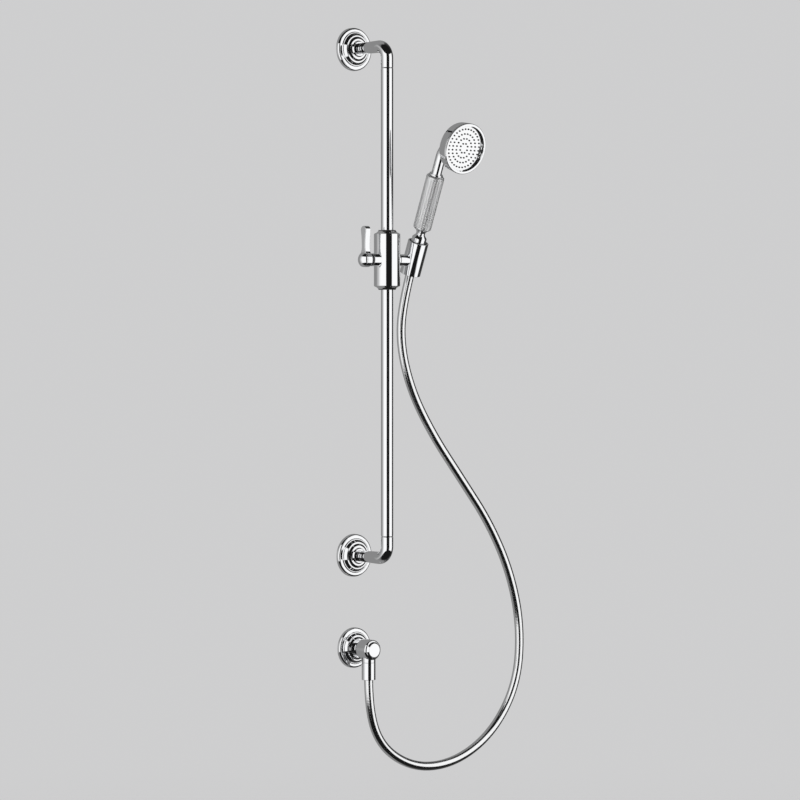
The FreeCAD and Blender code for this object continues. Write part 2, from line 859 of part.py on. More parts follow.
def pieces():
    """Every piece of the set, by name."""
    arm_hole_r = arm_r(rail_collar_depth) + flange_hole_gap
    rail_flange = stepped_flange(rail_flange_tiers, rail_collar_r, rail_collar_depth, arm_hole_r)
    raised = up * fixing_centres
    yield "lower_wall_plate", wall_plate()
    yield "upper_wall_plate", wall_plate().translated(raised)
    yield "lower_flange", rail_flange
    yield "upper_flange", rail_flange.translated(raised)
    yield "lower_flange_seal", flange_seal()
    yield "upper_flange_seal", flange_seal().translated(raised)
    yield "lower_elbow", elbow()
    yield "upper_elbow", flipped(elbow())
    yield "rail_tube", rail_tube()
    grubs = [arm_grub(), rail_grub()]
    yield "grub_screws", Part.makeCompound(grubs + [flipped(g) for g in grubs])
    yield "upper_slide_bush", slide_bush(1)
    yield "lower_slide_bush", slide_bush(-1)
    yield "slider_body", slider_body()
    yield "brake_pad", brake_pad()
    yield "clamp_spindle", clamp_spindle()
    yield "clamp_washer", clamp_washer()
    yield "clamp_lever", clamp_lever()
    yield "lever_cap", lever_cap()
    yield "pivot_washer", pivot_washer()
    yield "pivot_screw", pivot_screw()
    yield "pivot_spring", pivot_spring()
    yield "cradle", cradle()
    yield "cradle_liner", cradle_liner()
    yield "upper_hose_nut", upper_hose_nut()
    yield "upper_hose_washer", leaned(hose_washer(stem_thread_end - hose_washer_t))
    yield "upper_hose_ferrule", leaned(hose_ferrule(upper_ferrule_low))
    yield "handset_stem", handset_stem()
    yield "handset_grip", handset_grip()
    yield "handset_head", handset_head()
    yield "rose_ring", rose_ring()
    yield "spray_plate", spray_plate()
    yield "spray_seal", spray_seal()
    neck_hole_r = outlet_neck_r + flange_hole_gap
    outlet_flange = stepped_flange(outlet_flange_tiers, outlet_collar_r, outlet_collar_depth, neck_hole_r)
    yield "outlet_flange", outlet_flange.translated(outlet_middle)
    yield "outlet_body", outlet_body()
    yield "outlet_cap", outlet_cap()
    yield "lower_hose_nut", lower_hose_nut()
    yield "lower_hose_washer", hose_washer(outlet_thread_end, outlet_tail, down)
    yield "lower_hose_ferrule", hose_ferrule(outlet_thread_end + hose_washer_t, outlet_tail, down)
    yield "hose", hose()


os.makedirs("parts", exist_ok=True)
for name, shape in pieces():
    shape.exportStep("parts/" + name + ".step")
    solids = len(shape.Solids)
    print(name, solids, "solids" if solids != 1 else "solid", round(shape.Volume), shape.isValid())
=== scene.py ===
import bisect
import json
import math

import bmesh
import bpy
from mathutils import Matrix, Vector


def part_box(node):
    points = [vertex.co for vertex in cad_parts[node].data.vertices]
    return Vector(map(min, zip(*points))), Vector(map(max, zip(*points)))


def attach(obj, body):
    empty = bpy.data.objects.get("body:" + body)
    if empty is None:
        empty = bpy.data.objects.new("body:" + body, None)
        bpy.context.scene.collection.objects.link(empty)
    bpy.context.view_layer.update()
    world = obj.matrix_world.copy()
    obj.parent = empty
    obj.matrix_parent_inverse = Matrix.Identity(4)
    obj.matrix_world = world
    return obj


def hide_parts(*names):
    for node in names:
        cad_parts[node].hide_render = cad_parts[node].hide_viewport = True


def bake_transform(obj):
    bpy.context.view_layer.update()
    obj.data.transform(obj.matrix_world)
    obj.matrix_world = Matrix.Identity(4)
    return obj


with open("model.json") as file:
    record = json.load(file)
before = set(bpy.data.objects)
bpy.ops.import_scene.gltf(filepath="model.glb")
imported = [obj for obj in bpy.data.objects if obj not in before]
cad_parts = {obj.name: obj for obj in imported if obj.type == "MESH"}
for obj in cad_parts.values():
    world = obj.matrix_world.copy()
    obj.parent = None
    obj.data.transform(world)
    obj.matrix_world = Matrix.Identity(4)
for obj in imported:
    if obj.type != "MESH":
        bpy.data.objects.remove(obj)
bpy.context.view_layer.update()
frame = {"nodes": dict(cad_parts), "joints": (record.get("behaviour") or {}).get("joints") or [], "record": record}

# Shower slide rail set. The meshes are drawn in millimetres and become metres when a piece is made.
# The wall is the plane y = 0, the room lies towards -Y and +Z is up.

MM = 0.001
right = Vector((1, 0, 0))
left = Vector((-1, 0, 0))
room = Vector((0, -1, 0))
up = Vector((0, 0, 1))
down = Vector((0, 0, -1))

# Places, from the frame
joints = {joint["name"]: joint for joint in frame["joints"]}
mounts = {mount["name"]: mount for mount in frame["record"]["mounts"]}
slider_middle = Vector(joints["swivel"]["pos_m"]) / MM
tilt_point = Vector(joints["tilt"]["pos_m"]) / MM
lower_fixing = Vector(mounts["lower_wall_fixing"]["pos_m"]) / MM
upper_fixing = Vector(mounts["upper_wall_fixing"]["pos_m"]) / MM
outlet_middle = Vector((0, 0, mounts["water_inlet"]["pos_m"][2])) / MM
rail_low, rail_high = [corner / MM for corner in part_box("rail_tube")]
rail_r = (rail_high.x - rail_low.x) / 2
rail_foot = Vector((0, slider_middle.y, rail_low.z))
rail_length = rail_high.z - rail_low.z
stand_off = -slider_middle.y

# Roundness and edges
turn_steps = 96
flange_steps = 144
bar_steps = 72
bend_steps = 32
arc_steps = 16
hose_steps = 36
hose_line_steps = 48
thread_steps = 48
nozzle_steps = 14
tent_steps = 160
floor_steps = 96
round_steps = 5
fine_edge = 0.2
soft_edge = 0.3
wide_edge = 0.5
sharp_angle = math.radians(32)
merge_gap = 0.0005
cut_past = 1.0

# Rail, elbows and flanges: the flanges' corners are radius, depth from the wall and rounding
rail_wall = 1.3
seam_chamfer = 1.6
seam_depth = 0.8
seam_edge = 0.1
elbow_bend_r = 19.5
elbow_leg = rail_low.z - elbow_bend_r
arm_wall_r = 8.3
plate_t = 4.0
grub_hole_r = 2.05
grub_hole_depth = 4.0
arm_grub_depth = 24.5
rail_grub_from_seam = 11.0
rail_flange_front = [
    (33.5, 0),
    (33.2, 6.6, 3.2),
    (27.0, 6.6, 0.3),
    (26.0, 8.0, 0.2),
    (24.9, 8.0, 0.2),
    (21.3, 11.8, 0.5),
    (19.1, 11.8, 0.3),
    (15.7, 14.3, 0.4),
    (12.7, 14.3, 0.3),
    (11.2, 16.8, 0.4),
    (8.8, 16.8),
]
outlet_flange_front = [
    (31.7, 0),
    (31.4, 6.4, 3.0),
    (25.4, 6.4, 0.3),
    (24.5, 7.7, 0.2),
    (23.4, 7.7, 0.2),
    (20.1, 11.2, 0.5),
    (17.9, 11.2, 0.3),
    (14.8, 14.0, 0.4),
    (11.7, 14.0),
]
flange_wall = 1.6

# Slider and clamp
slider_r = 20.25
slider_half = 44.75
slider_shoulder = 40.1
slider_collar = 42.8
slider_collar_r = 15.2
slider_end_r = 13.95
slider_edge = 0.5
slider_middle_bore_r = 11.5
bush_r = 13.5
bush_length = 24.0
bush_proud = 1.2
bush_edge = 0.9
bush_mouth_edge = 0.4
bush_rail_gap = 0.06
bush_pocket_gap = 0.1
bush_end_gap = 0.2
clamp_boss_r = 9.8
clamp_boss_end = 31.5
friction_ring_r = 9.3
friction_ring_bore_r = 5.0
friction_ring_gap = 0.2
friction_ring_edge = 0.4
lever_inner = 37.1
lever_outer = 47.0
lever_hub_r = 11.4
lever_waist = 8.2
lever_waist_rise = 20.0
lever_tip_r = 6.2
lever_rise = 51.6
lever_edge = 0.9
lever_cap_r = 11.0
lever_cap_rim = 1.0
lever_cap_rise = 7.0
lever_cap_roundness = 0.99

# Cradle
pivot_seat = 21.2
cradle_arm_start = 22.0
cradle_arm_r = 9.0
cradle_reach = tilt_point.x
cradle_r = 16.2
cradle_bore_r = 14.2
cradle_below = 22.0
cradle_above = 31.0
liner_below = 21.5
liner_above = 30.5
liner_low_r = 10.9
liner_top_r = 12.14

# Handset, measured up its own axis from the tilt axis
lean = math.radians(22.5)
nut_mouth_r = 7.3
nut_socket_r = 10.25
upper_nut_below = 12.0
upper_nut_low_r = 10.88
upper_nut_top = 32.0
upper_nut_top_r = 11.9
upper_nut_edge = 0.4
stem_bore_r = 5.0
stem_tail_r = 10.2
stem_tail_end = 8.6
stem_collar_r = 11.4
stem_collar_low = 32.3
stem_collar_top = 38.0
stem_collar_edge = 0.4
stem_waist_r = 7.0
stem_waist_low = 43.0
stem_waist_top = 47.0
stem_waist_edge = 0.6
stem_top_r = 10.0
grip_low = 51.7
grip_top = 140.4
grip_r = 13.8
grip_chamfer = 2.2
grip_bore_r = 9.0
grip_skin = 1.0
upright_limit = 0.1
knurl_columns = 26
knurl_rows = 23
knurl_margin = 0.8
knurl_height = 0.46
neck_r = 8.0
neck_collar_r = 10.6
neck_collar_t = 2.6
neck_collar_gap = 0.05
neck_bend_low = 170.4
neck_bend_r = 28.0
neck_bend_turn = math.radians(82)
neck_to_face = 27.4

# Rose and cup, measured back from the rose's face
rose_r = 39.2
lip_mouth_r = 35.2
lip_chamfer = 0.8
lip_back = 2.6
ledge_r = 33.6
ledge_front = 4.4
skirt_r = 36.8
skirt_bore_r = 35.0
skirt_end = 10.9
plate_front = 5.2
plate_back = 6.7
# Dark colour painted on the spray plate's hole walls as shade
painted_hole_shade = (0.03, 0.03, 0.03)
mat_r = 34.6
mat_t = 0.8
nozzle_r = 1.2
nozzle_proud = 0.9
nozzle_pitch = 7.4
nozzle_rings = 4
nozzles_per_ring = 8
cup_gap = 0.05
cup_chamfer = 0.4
cup_edge = 0.15
cup_seat = 11.0
cup_throat_r = 32.6
cup_throat = 16.0
cup_slope_r = 28.6
cup_slope = 18.0
cup_floor_r = 10.0
cup_floor = 23.5
cup_side_r = 37.6
cup_side = 18.0
cup_side_edge = 0.9
cup_crown_r = 26.9
cup_crown = 28.7
cup_crown_edge = 14.2
cup_pole_r = 12.0
cup_pole = 25.5
cup_pole_edge = 0.4
neck_end = 24.4

# Hose: lengths along its route are in metres, its windings in millimetres
hose_r = 0.007
hose_pitch = 2.4
hose_groove = 0.025
hose_groove_side = 0.45
hose_first_run = 0.062
hose_last_run = 0.058
lower_ferrule_end = 0.041
upper_seam_height = 0.262

# Wall outlet
outlet_neck_r = 11.5
outlet_barrel_r = 15.9
outlet_barrel_back = 26.0
outlet_back_edge = 1.0
outlet_bevel_start = 48.8
outlet_edge = 1.6
outlet_rim_r = 13.1
outlet_rim = 50.4
outlet_plug_r = 10.5
outlet_plug_back = 45.0
outlet_plug_gap = 0.05
outlet_plug_lift = 0.02
outlet_plug_inset = 0.1
outlet_face_r = 10.6
outlet_front = 53.0
outlet_tail_axis = 38.4
outlet_tail_r = 10.8
outlet_tail_start = 11.4
outlet_tail_end = 19.8
inlet_length = 20.0
inlet_r = 10.48
inlet_root_r = 9.4
inlet_bore_r = 7.0
inlet_chamfer = 0.4
inlet_overlap = 0.05
thread_pitch = 1.8
thread_turns = 9
thread_crest_low = 0.4
thread_crest_high = 0.6
lower_nut_r = 10.8
lower_nut_top = 20.0
lower_nut_seat = 41.0
lower_nut_end = 47.0
lower_nut_top_edge = 0.25
lower_nut_edge = 0.6

# Camera, in metres, at the photograph's viewing angle
camera_place = (-2.847, -3.569, 0.3761)
camera_turn = math.radians(-39.5)
camera_pitch = math.radians(-1.6657)
camera_lens = 131.35
camera_sensor = 36

# Floor and light, in metres. The tent's brightness is given by angle from the camera, in degrees to its
# right: white front panels, which stop short of the top and bottom, and grey cloth behind the object.
floor_level = -1.05
floor_r = 5.0
floor_fade_start = 0.3
floor_roughness = 0.9
tent_middle = Vector((0, slider_middle.y * MM, 0.41))
tent_r = 1.4
tent_half_height = 1.08
tent_fade = 0.05
tent_dark_rim = 0.01
tent_strength = 1.06
tent_panels = [
    (-104, 0.0),
    (-98, 0.15),
    (-84, 0.3),
    (-70, 0.75),
    (-58, 1.0),
    (-10, 1.0),
    (-7.5, 0.0),
    (42, 0.0),
    (44.5, 1.0),
    (100, 1.0),
    (104, 0.0),
]
tent_back = [
    (-180, 0.26),
    (-110, 0.27),
    (-98, 0.27),
    (-84, 0.20),
    (-72, 0.01),
    (104, 0.01),
    (108, 0.02),
    (150, 0.05),
    (170, 0.22),
    (180, 0.26),
]
world_grey = (0.62, 0.62, 0.625, 1)
floor_grey = (0.86, 0.86, 0.86)
key_place = (-2.2, -3.0, 2.6)
key_size = 1.6
key_power = 60

# Fine marks on every finish: soft clouds, and a grain that is finer by a factor
cloud_detail = 4
cloud_low = 0.3
cloud_high = 0.7
grain_detail = 2
grain_factor = 9
marks_height = 0.0001

# Tones of the finishes: one, or two that blend in clouds
chrome_tone = (0.90, 0.905, 0.915)
satin_chrome_tone = (0.90, 0.905, 0.91)
hose_tone = (0.86, 0.865, 0.87)
brass_tones = [(0.74, 0.56, 0.27), (0.60, 0.44, 0.20)]
steel_tones = [(0.52, 0.52, 0.53), (0.42, 0.42, 0.43)]
plastic_tones = [(0.022, 0.022, 0.024), (0.034, 0.034, 0.036)]
rubber_tones = [(0.016, 0.016, 0.016), (0.026, 0.026, 0.026)]


def towards(base, axis):
    """Matrix that lays local Z along axis, from base."""
    return Matrix.Translation(base) @ up.rotation_difference(axis).to_matrix().to_4x4()


handset = Matrix.Translation(tilt_point) @ Matrix.Rotation(lean, 4, "X")
handset_up = handset.to_3x3() @ up
rose_axis = Vector((0, -math.sin(neck_bend_turn), math.cos(neck_bend_turn)))
neck_bend_out = neck_bend_r * (math.cos(neck_bend_turn) - 1)
neck_bend_top = neck_bend_low + neck_bend_r * math.sin(neck_bend_turn)
neck_bend_end = Vector((0, neck_bend_out, neck_bend_top))
rose = handset @ towards(neck_bend_end + rose_axis * neck_to_face, -rose_axis)
outlet_tail = outlet_middle + room * outlet_tail_axis


def closed_up(bm):
    """Merges a mesh's doubles and points its faces outwards."""
    bmesh.ops.remove_doubles(bm, verts=bm.verts[:], dist=merge_gap)
    bmesh.ops.recalc_face_normals(bm, faces=bm.faces[:])
    return bm


def moved(bm, matrix):
    """The mesh in another place."""
    bmesh.ops.transform(bm, matrix=matrix, verts=bm.verts[:])
    return bm


def turned(profile, matrix, ring=False, steps=turn_steps):
    """Skin of revolution. Corners are radius, height and, where the corner is soft, its rounding."""
    bm = bmesh.new()
    corners = [bm.verts.new((corner[0], 0, corner[1])) for corner in profile]
    for first, second in zip(corners, corners[1:]):
        bm.edges.new((first, second))
    if ring:
        bm.edges.new((corners[-1], corners[0]))
    for vert, corner in zip(corners, profile):
        if len(corner) == 3:
            rounding = corner[2]
            bmesh.ops.bevel(
                bm, geom=[vert], offset=rounding, segments=round_steps + int(2 * rounding), profile=0.5,
                affect="VERTICES", material=-1,
            )
    outline = bm.verts[:] + bm.edges[:]
    bmesh.ops.spin(
        bm, geom=outline, cent=(0, 0, 0), axis=up, angle=2 * math.pi, steps=steps, use_merge=True
    )
    closed_up(bm)
    return moved(bm, matrix)


def rod(r, start, end, base, axis, edge=soft_edge):
    """Bar with softened ends along axis, from start to end."""
    profile = [(0, start), (r, start, edge), (r, end, edge), (0, end)]
    return turned(profile, towards(base, axis), steps=bar_steps)


def pulled(bm, edges, step, scale=1.0):
    """Extrudes an open rim by a step and returns the new rim."""
    made = bmesh.ops.extrude_edge_only(bm, edges=edges)["geom"]
    verts = [item for item in made if isinstance(item, bmesh.types.BMVert)]
    bmesh.ops.translate(bm, vec=step, verts=verts)
    middle = sum((vert.co for vert in verts), Vector()) / len(verts)
    bmesh.ops.scale(bm, vec=(scale, scale, scale), space=Matrix.Translation(-middle), verts=verts)
    return [item for item in made if isinstance(item, bmesh.types.BMEdge)]


def swept(bm, edges, middle, axis, angle):
    """Turns an open rim about an axis and returns the new rim."""
    made = bmesh.ops.spin(
        bm, geom=edges, cent=middle, axis=axis, angle=angle, steps=bend_steps
    )["geom_last"]
    return [item for item in made if isinstance(item, bmesh.types.BMEdge)]


def scratch(bm):
    """Object that only lives until a weld is done."""
    mesh = bpy.data.meshes.new("scratch")
    bm.to_mesh(mesh)
    bm.free()
    obj = bpy.data.objects.new("scratch", mesh)
    bpy.context.scene.collection.objects.link(obj)
    return obj


def welded(base, joins=(), holes=()):
    """One closed skin: the base joined with some shapes and cut by others."""
    body = scratch(base)
    tools = []
    for operation, shapes in (("UNION", joins), ("DIFFERENCE", holes)):
        for shape in shapes:
            tool = scratch(shape)
            weld = body.modifiers.new(operation, "BOOLEAN")
            weld.operation = operation
            weld.solver = "EXACT"
            weld.object = tool
            tools.append(tool)
    depsgraph = bpy.context.evaluated_depsgraph_get()
    mesh = bpy.data.meshes.new_from_object(body.evaluated_get(depsgraph))
    bm = bmesh.new()
    bm.from_mesh(mesh)
    bpy.data.meshes.remove(mesh)
    for obj in [body] + tools:
        bpy.data.objects.remove(obj)
    return bm


def solid(name, bm, slot, nodes):
    """Makes a finished mesh object that stands for some CAD nodes."""
    bmesh.ops.scale(bm, vec=(MM, MM, MM), verts=bm.verts[:])
    mesh = bpy.data.meshes.new(name)
    bm.to_mesh(mesh)
    bm.free()
    mesh.shade_smooth()
    mesh.set_sharp_from_angle(angle=sharp_angle)
    mesh.materials.append(finishes[slot])
    obj = bpy.data.objects.new(name, mesh)
    bpy.context.scene.collection.objects.link(obj)
    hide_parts(*nodes)
    return obj


def piece(name, bm, slot, body, *nodes):
    """Makes a rigid piece that rides on a body."""
    obj = solid(name, bm, slot, nodes)
    normals = obj.modifiers.new("even_shading", "WEIGHTED_NORMAL")
    normals.keep_sharp = True
    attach(obj, body)
    return obj


# Finishes


def fine_marks():
    """Faint handling marks: a mask, a roughness and a height that change over the surface."""
    group = bpy.data.node_groups.new("fine_marks", "ShaderNodeTree")
    for name in ("Scale", "Smoothest", "Roughest"):
        group.interface.new_socket(name, in_out="INPUT", socket_type="NodeSocketFloat")
    for name in ("Mask", "Roughness", "Height"):
        group.interface.new_socket(name, in_out="OUTPUT", socket_type="NodeSocketFloat")
    nodes = group.nodes
    link = group.links.new
    given = nodes.new("NodeGroupInput")
    out = nodes.new("NodeGroupOutput")
    place = nodes.new("ShaderNodeTexCoord").outputs["Object"]
    cloud = nodes.new("ShaderNodeTexNoise")
    cloud.inputs["Detail"].default_value = cloud_detail
    grain = nodes.new("ShaderNodeTexNoise")
    grain.inputs["Detail"].default_value = grain_detail
    finer = nodes.new("ShaderNodeMath")
    finer.operation = "MULTIPLY"
    finer.inputs[1].default_value = grain_factor
    spread = nodes.new("ShaderNodeMapRange")
    spread.inputs["From Min"].default_value = cloud_low
    spread.inputs["From Max"].default_value = cloud_high
    link(place, cloud.inputs["Vector"])
    link(place, grain.inputs["Vector"])
    link(given.outputs["Scale"], cloud.inputs["Scale"])
    link(given.outputs["Scale"], finer.inputs[0])
    link(finer.outputs[0], grain.inputs["Scale"])
    link(cloud.outputs["Fac"], spread.inputs["Value"])
    link(given.outputs["Smoothest"], spread.inputs["To Min"])
    link(given.outputs["Roughest"], spread.inputs["To Max"])
    link(cloud.outputs["Fac"], out.inputs["Mask"])
    link(spread.outputs["Result"], out.inputs["Roughness"])
    link(grain.outputs["Fac"], out.inputs["Height"])
    return group


def finish(name, tones, metallic, scale, roughness, bump):
    """Procedural material: one tone, or two in clouds, with fine marks in roughness and height."""
    material = bpy.data.materials.new(name)
    material.use_nodes = True
    nodes = material.node_tree.nodes
    link = material.node_tree.links.new
    shader = nodes["Principled BSDF"]
    shader.inputs["Metallic"].default_value = metallic
    marks = nodes.new("ShaderNodeGroup")
    marks.node_tree = marks_group
    marks.inputs["Scale"].default_value = scale
    marks.inputs["Smoothest"].default_value = roughness[0]
    marks.inputs["Roughest"].default_value = roughness[1]
    link(marks.outputs["Roughness"], shader.inputs["Roughness"])
    relief = nodes.new("ShaderNodeBump")
    relief.inputs["Strength"].default_value = bump
    relief.inputs["Distance"].default_value = marks_height
    link(marks.outputs["Height"], relief.inputs["Height"])
    link(relief.outputs["Normal"], shader.inputs["Normal"])
    if len(tones) == 1:
        shader.inputs["Base Color"].default_value = (*tones[0], 1)
        return material
    blend = nodes.new("ShaderNodeMix")
    blend.data_type = "RGBA"
    blend.inputs["A"].default_value = (*tones[0], 1)
    blend.inputs["B"].default_value = (*tones[1], 1)
    link(marks.outputs["Mask"], blend.inputs["Factor"])
    link(blend.outputs["Result"], shader.inputs["Base Color"])
    return material


marks_group = fine_marks()
finishes = {
    "chrome": finish(
        "polished_chrome", [chrome_tone], metallic=1, scale=40, roughness=(0.02, 0.06), bump=0.004
    ),
    "knurled_chrome": finish(
        "knurled_chrome", [satin_chrome_tone], metallic=1, scale=200, roughness=(0.42, 0.52), bump=0.1
    ),
    "spray_face": finish(
        "spray_face", [satin_chrome_tone], metallic=1, scale=90, roughness=(0.06, 0.12), bump=0.05
    ),
    "hose_metal": finish(
        "hose_steel", [hose_tone], metallic=1, scale=160, roughness=(0.10, 0.17), bump=0.03
    ),
    "raw_brass": finish(
        "turned_brass", brass_tones, metallic=1, scale=90, roughness=(0.22, 0.38), bump=0.2
    ),
    "steel_screw": finish(
        "plain_steel", steel_tones, metallic=1, scale=120, roughness=(0.25, 0.4), bump=0.2
    ),
    "black_plastic": finish(
        "black_plastic", plastic_tones, metallic=0, scale=90, roughness=(0.36, 0.5), bump=0.3
    ),
    "black_rubber": finish(
        "black_rubber", rubber_tones, metallic=0, scale=120, roughness=(0.6, 0.75), bump=0.4
    ),
}


def paint_hole_shade(material, axis):
    """Painted shade on the hole walls: the faces that turn away from the plate's axis get a dark colour in place
    of chrome.
    """
    nodes = material.node_tree.nodes
    link = material.node_tree.links.new
    facing = nodes.new("ShaderNodeVectorMath")
    facing.operation = "DOT_PRODUCT"
    facing.inputs[1].default_value = axis
    link(nodes.new("ShaderNodeTexCoord").outputs["Normal"], facing.inputs[0])
    square = nodes.new("ShaderNodeMath")
    square.operation = "POWER"
    square.inputs[1].default_value = 2
    link(facing.outputs["Value"], square.inputs[0])
    shader = nodes["Principled BSDF"]
    blend = nodes.new("ShaderNodeMix")
    blend.data_type = "RGBA"
    blend.inputs["A"].default_value = (*painted_hole_shade, 1)
    blend.inputs["B"].default_value = shader.inputs["Base Color"].default_value
    link(square.outputs[0], blend.inputs["Factor"])
    link(blend.outputs["Result"], shader.inputs["Base Color"])


# The spray face gets painted shade on its hole walls
paint_hole_shade(finishes["spray_face"], handset.to_3x3() @ rose_axis)
for subpart in frame["record"]["subparts"]:
    node = frame["nodes"][subpart["node"]]
    node.data.materials.clear()
    node.data.materials.append(finishes[subpart["material_slot"]])

# Hose


def hose_line():
    """Points along the hose, read from a smooth spline on its route, in metres."""
    top = tilt_point * MM
    foot = outlet_tail * MM + down * lower_ferrule_end
    route = [
        top,
        top - handset_up * hose_first_run,
        Vector((0.0530, -0.050, 0.3371)),
        Vector((0.0770, -0.047, 0.2610)),
        Vector((0.1212, -0.048, 0.1887)),
        Vector((0.1787, -0.050, 0.1171)),
        Vector((0.2385, -0.051, 0.0432)),
        Vector((0.2832, -0.052, -0.0399)),
        Vector((0.3057, -0.052, -0.1292)),
        Vector((0.2976, -0.052, -0.2211)),
        Vector((0.2467, -0.051, -0.2950)),
        Vector((0.1718, -0.049, -0.3359)),
        Vector((0.0921, -0.046, -0.3394)),
        Vector((0.0269, -0.041, -0.3041)),
        foot + down * hose_last_run,
        foot,
    ]
    curve = bpy.data.curves.new("hose_line", "CURVE")
    curve.dimensions = "3D"
    curve.resolution_u = hose_line_steps
    spline = curve.splines.new("NURBS")
    spline.points.add(len(route) - 1)
    for point, place in zip(spline.points, route):
        point.co = (*place, 1)
    spline.order_u = 3
    spline.use_endpoint_u = True
    obj = bpy.data.objects.new("hose_line", curve)
    mesh = bpy.data.meshes.new_from_object(obj)
    points = [vert.co.copy() for vert in mesh.vertices]
    bpy.data.objects.remove(obj)
    bpy.data.curves.remove(curve)
    bpy.data.meshes.remove(mesh)
    return points


hose_points = hose_line()
hose_travel = [0.0]
for before, after in zip(hose_points, hose_points[1:]):
    hose_travel.append(hose_travel[-1] + (after - before).length)


def along_hose(distance):
    """Place and direction on the hose's line."""
    n = min(max(bisect.bisect(hose_travel, distance), 1), len(hose_points) - 1)
    before, after = hose_points[n - 1], hose_points[n]
    share = (distance - hose_travel[n - 1]) / (hose_travel[n] - hose_travel[n - 1])
    return before.lerp(after, share), (after - before).normalized()


def winding_start(n):
    """Where a winding starts on the hose's line."""
    return along_hose(n * hose_pitch * MM)[0]


def wound_hose(name, first, last):
    """Close-wound length of hose from the first winding to the last, with closed ends, on the line."""
    r = hose_r / MM
    profile = [(0, 0), (r - hose_groove, 0)]
    for n in range(last - first):
        low = n * hose_pitch
        profile += [
            (r, low + hose_groove_side),
            (r, low + hose_pitch - hose_groove_side),
            (r - hose_groove, low + hose_pitch),
        ]
    profile.append((0, (last - first) * hose_pitch))
    bm = turned(profile, Matrix(), steps=hose_steps)
    side = right
    turns = {}
    for height in sorted({round(vert.co.z, 3) for vert in bm.verts}):
        place, ahead = along_hose((first * hose_pitch + height) * MM)
        side = (side - ahead * side.dot(ahead)).normalized()
        turns[height] = (place / MM, side.copy(), ahead.cross(side))
    for vert in bm.verts:
        place, across, over = turns[round(vert.co.z, 3)]
        vert.co = place + across * vert.co.x + over * vert.co.y
    bmesh.ops.recalc_face_normals(bm, faces=bm.faces[:])
    obj = solid(name, bm, "hose_metal", ["hose"])
    start = first * hose_pitch * MM
    end = last * hose_pitch * MM
    path = [along_hose(start)[0]]
    path += [point for point, at in zip(hose_points, hose_travel) if start < at < end]
    path.append(along_hose(end)[0])
    return obj


windings = int(hose_travel[-1] / MM / hose_pitch)
upper_seam = next(n for n in range(windings) if winding_start(n).z < upper_seam_height)
lower_seam = max(range(windings), key=lambda n: winding_start(n).x)
hose_top = wound_hose("hose_under_handset", 0, upper_seam)
hose_middle = wound_hose("hose_drop", upper_seam, lower_seam)
hose_foot = wound_hose("hose_loop", lower_seam, windings)
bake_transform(hose_top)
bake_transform(hose_middle)
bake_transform(hose_foot)

# Rail and its elbows


def elbow():
    """Tapered arm, bend and leg of the lower elbow, about its own fixing."""
    bm = bmesh.new()
    bmesh.ops.create_circle(
        bm, segments=bar_steps, radius=arm_wall_r, matrix=towards(room * plate_t, room)
    )
    back = bm.edges[:]
    bend_start = stand_off - elbow_bend_r
    rim = pulled(bm, back, room * (bend_start - plate_t), rail_r / arm_wall_r)
    rim = swept(bm, rim, room * bend_start + up * elbow_bend_r, left, math.pi / 2)
    rim = pulled(bm, rim, up * elbow_leg)
    bmesh.ops.edgeloop_fill(bm, edges=back)
    bmesh.ops.edgeloop_fill(bm, edges=rim)
    closed_up(bm)
    grub_hole = rod(
        grub_hole_r, arm_wall_r - grub_hole_depth, rail_r + cut_past, room * arm_grub_depth, down
    )
    return welded(bm, holes=[grub_hole])


def rail():
    """Straight rail, with a screw hole behind each end."""
    bore_r = rail_r - rail_wall
    profile = [
        (bore_r, 0),
        (rail_r - seam_depth, 0),
        (rail_r, seam_chamfer, seam_edge),
        (rail_r, rail_length - seam_chamfer, seam_edge),
        (rail_r - seam_depth, rail_length),
        (bore_r, rail_length),
    ]
    tube = turned(profile, Matrix.Translation(rail_foot), ring=True)
    holes = []
    for height in (rail_grub_from_seam, rail_length - rail_grub_from_seam):
        place = rail_foot + up * height
        holes.append(rod(grub_hole_r, rail_r - grub_hole_depth, rail_r + cut_past, place, -room))
    return welded(tube, holes=holes)


def flange(front, base):
    """Spun cover with stepped, rounded tiers, open at the wall."""
    back = [(corner[0], corner[1] - flange_wall) for corner in front[2:]]
    rim_r, rim_depth = front[1][:2]
    mouth_r = front[0][0]
    back = [(mouth_r - flange_wall, 0), (rim_r - flange_wall, rim_depth - flange_wall)] + back
    return turned(front + back[::-1], towards(base, room), ring=True, steps=flange_steps)


right_way_up = Matrix.Translation(lower_fixing)
upside_down = Matrix.Translation(upper_fixing) @ Matrix.Rotation(math.pi, 4, "Y")
piece("rail", rail(), "chrome", "root", "rail_tube")
piece("lower_elbow_arm", moved(elbow(), right_way_up), "chrome", "root", "lower_elbow")
piece("upper_elbow_arm", moved(elbow(), upside_down), "chrome", "root", "upper_elbow")
for end, fixing in (("lower", lower_fixing), ("upper", upper_fixing)):
    cover = flange(rail_flange_front, fixing)
    piece(end + "_flange_cover", cover, "chrome", "root", end + "_flange")

# Slider and clamp


def slider():
    """Barrel with a clamp boss on its left and a pivot seat on its right."""
    pocket_r = bush_r + bush_pocket_gap
    pocket = slider_half - bush_length
    profile = [
        (slider_middle_bore_r, -pocket),
        (pocket_r, -pocket),
        (pocket_r, -slider_half),
        (slider_end_r, -slider_half),
        (slider_collar_r, -slider_collar, soft_edge),
        (slider_r, -slider_shoulder, slider_edge),
        (slider_r, slider_shoulder, slider_edge),
        (slider_collar_r, slider_collar, soft_edge),
        (slider_end_r, slider_half),
        (pocket_r, slider_half),
        (pocket_r, pocket),
        (slider_middle_bore_r, pocket),
    ]
    barrel = turned(profile, Matrix.Translation(slider_middle), ring=True)
    wall_middle = (slider_r + pocket_r) / 2
    boss = rod(clamp_boss_r, wall_middle, clamp_boss_end, slider_middle, left, wide_edge)
    seat = rod(cradle_arm_r, wall_middle, pivot_seat, slider_middle, right)
    return welded(barrel, joins=[boss, seat])


